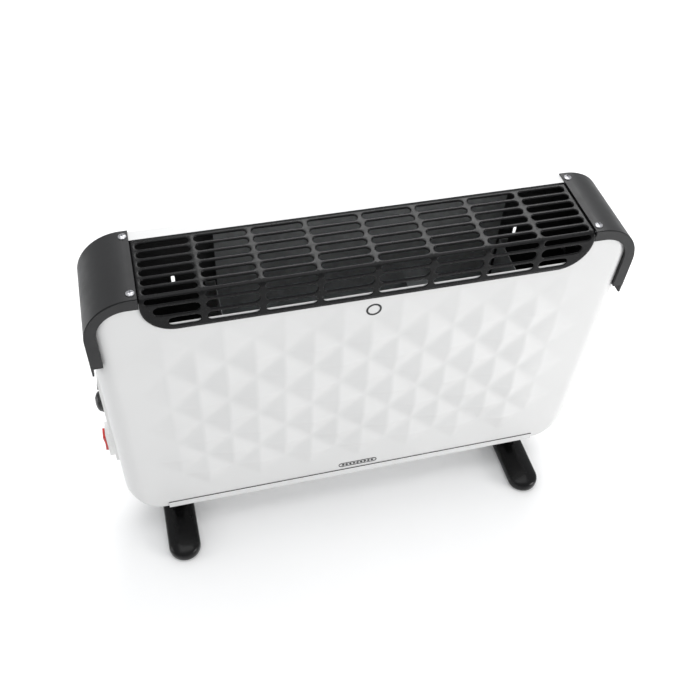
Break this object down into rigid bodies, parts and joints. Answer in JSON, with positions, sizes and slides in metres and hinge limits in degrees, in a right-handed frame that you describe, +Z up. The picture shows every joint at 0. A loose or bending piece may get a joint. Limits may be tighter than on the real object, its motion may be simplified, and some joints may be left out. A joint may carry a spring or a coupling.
{
  "type": "fan convector heater",
  "caption": "Free-standing electric convector heater: embossed white steel case on two black feet, black folded outlet grille, corner caps, side controls and an inner fan.",
  "frame": {"origin": "on the floor, at the centre of the overall box", "axes": "+X to the right seen from the front, +Y to the back, +Z up; the embossed front faces -Y and the controls -X"},
  "size_m": [0.5452, 0.176, 0.3992],
  "materials": {
    "white_steel": "satin",
    "black_steel": "semi-gloss",
    "cap_plastic": "satin",
    "foot_plastic": "semi-gloss",
    "screw_steel": "bright zinc",
    "pad_rubber": "matt",
    "gland_rubber": "matt",
    "mark_ink": "printed",
    "white_plastic": "satin",
    "black_plastic": "satin",
    "red_plastic": "translucent gloss",
    "cream_plastic": "satin",
    "zinc_steel": "galvanised",
    "bar_aluminium": "extruded",
    "bush_ceramic": "unglazed",
    "fan_plastic": "satin",
    "live_jacket": "satin",
    "neutral_jacket": "satin",
    "heater_jacket": "glass sleeve",
    "fan_jacket": "satin"
  },
  "bodies": {
    "case": {"front_panel": "white_steel", "rear_panel": "white_steel", "base_tray": "white_steel", "outlet_grille": "black_steel", "cap_left": "cap_plastic", "cap_right": "cap_plastic", "foot_left": "foot_plastic", "foot_right": "foot_plastic", "cap_screws": "screw_steel", "case_screws": "screw_steel", "foot_screws": "screw_steel", "fan_screws": "screw_steel", "foot_pads": "pad_rubber", "cord_gland": "gland_rubber", "badge": "mark_ink", "ring_mark": "mark_ink", "control_plate": "white_plastic", "heat_switch_housing": "white_plastic", "fan_switch_housing": "black_plastic", "thermostat_body": "cream_plastic", "terminal_block": "cream_plastic", "bulkhead_left": "zinc_steel", "bulkhead_right": "zinc_steel", "rear_heat_shield": "zinc_steel", "front_heat_shield": "zinc_steel", "cutout_bracket": "zinc_steel", "heating_bar_upper": "bar_aluminium", "heating_bar_lower": "bar_aluminium", "bar_insulators": "bush_ceramic", "fan_frame": "fan_plastic", "fan_motor": "fan_plastic", "thermal_cutout": "fan_plastic", "live_lead": "live_jacket", "neutral_lead": "neutral_jacket", "heater_lead": "heater_jacket", "fan_lead": "fan_jacket"},
    "thermostat": {"thermostat_knob": "black_plastic", "thermostat_shaft": "zinc_steel"},
    "heat_switch": {"heat_rocker": "red_plastic"},
    "fan_switch": {"fan_rocker": "black_plastic"},
    "fan": {"fan_rotor": "fan_plastic", "fan_shaft": "zinc_steel"}
  },
  "joints": [
    {"name": "thermostat_turn", "type": "hinge", "parent": "case", "child": "thermostat", "pos_m": [-0.2626, 0, 0.212], "axis": [1, 0, 0], "range_deg": [0, 270]},
    {"name": "heat_rock", "type": "hinge", "parent": "case", "child": "heat_switch", "pos_m": [-0.2661, 0, 0.145], "axis": [0, 1, 0], "range_deg": [-12, 12]},
    {"name": "fan_rock", "type": "hinge", "parent": "case", "child": "fan_switch", "pos_m": [-0.2616, 0, 0.24], "axis": [0, -1, 0], "range_deg": [0, 16]},
    {"name": "fan_spin", "type": "hinge", "parent": "case", "child": "fan", "pos_m": [-0.1484, 0, 0.11], "axis": [1, 0, 0], "continuous": true}
  ]
}
